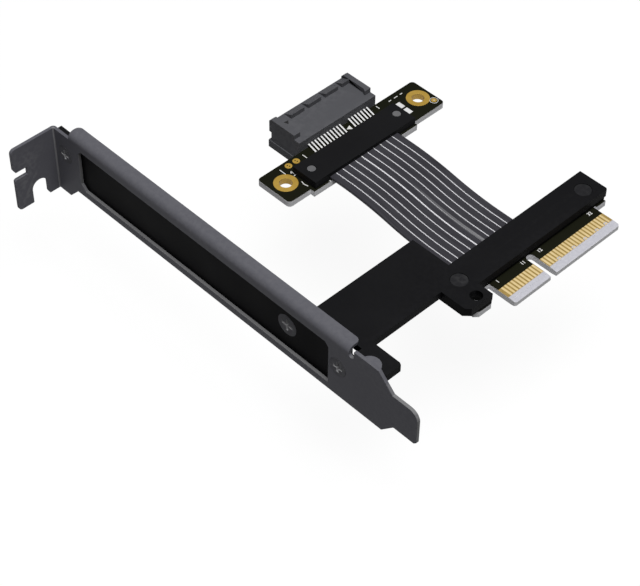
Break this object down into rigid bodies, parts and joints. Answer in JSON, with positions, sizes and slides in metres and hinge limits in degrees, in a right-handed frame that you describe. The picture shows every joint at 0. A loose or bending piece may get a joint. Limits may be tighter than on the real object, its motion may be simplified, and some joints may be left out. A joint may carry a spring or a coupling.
{
  "type": "pcie extension cable",
  "caption": "Card riser cable: a slot bracket with a support arm holds an edge plug board, and a flat cable of parallel strips leads to a board with a card socket.",
  "frame": {"origin": "the corner where the bracket's outer face, the outer face of its screw tab and the top of its side flange would meet", "axes": "+X from the bracket towards the boards, +Y from the tongue end to the screw tab, +Z out of the component side of the boards"},
  "size_m": [0.0901, 0.12, 0.0239],
  "materials": {
    "bracket_satin": "satin",
    "screw_dark": "satin",
    "arm_black": "satin",
    "spacer_black": "matt",
    "screw_black": "satin",
    "board_mask": "satin",
    "contact_gold": "polished",
    "ring_gold": "polished",
    "ribbon_grey": "satin",
    "solder_tin": "satin",
    "cover_black": "satin",
    "rivet_grey": "satin",
    "socket_grey": "matt"
  },
  "bodies": {
    "root": {"slot_bracket": "bracket_satin", "bracket_screws": "screw_dark", "support_arm": "arm_black", "plug_spacer": "spacer_black", "plug_cover_screws": "screw_black", "plug_board": "board_mask", "plug_contacts_top": "contact_gold", "plug_contacts_bottom": "contact_gold", "ribbon_strip_01": "ribbon_grey", "ribbon_strip_02": "ribbon_grey", "ribbon_strip_03": "ribbon_grey", "ribbon_strip_04": "ribbon_grey", "ribbon_strip_05": "ribbon_grey", "ribbon_strip_06": "ribbon_grey", "ribbon_strip_07": "ribbon_grey", "ribbon_strip_08": "ribbon_grey", "ribbon_strip_09": "ribbon_grey", "ribbon_strip_10": "ribbon_grey", "ribbon_strip_11": "ribbon_grey", "socket_board": "board_mask", "hole_ring_left": "ring_gold", "hole_ring_right": "ring_gold", "via_pads": "ring_gold", "solder_pads": "solder_tin", "round_pad": "ring_gold", "socket_cover": "cover_black", "cover_rivets": "rivet_grey", "socket_housing": "socket_grey", "socket_contacts_top": "solder_tin", "socket_contacts_bottom": "solder_tin"}
  },
  "joints": []
}
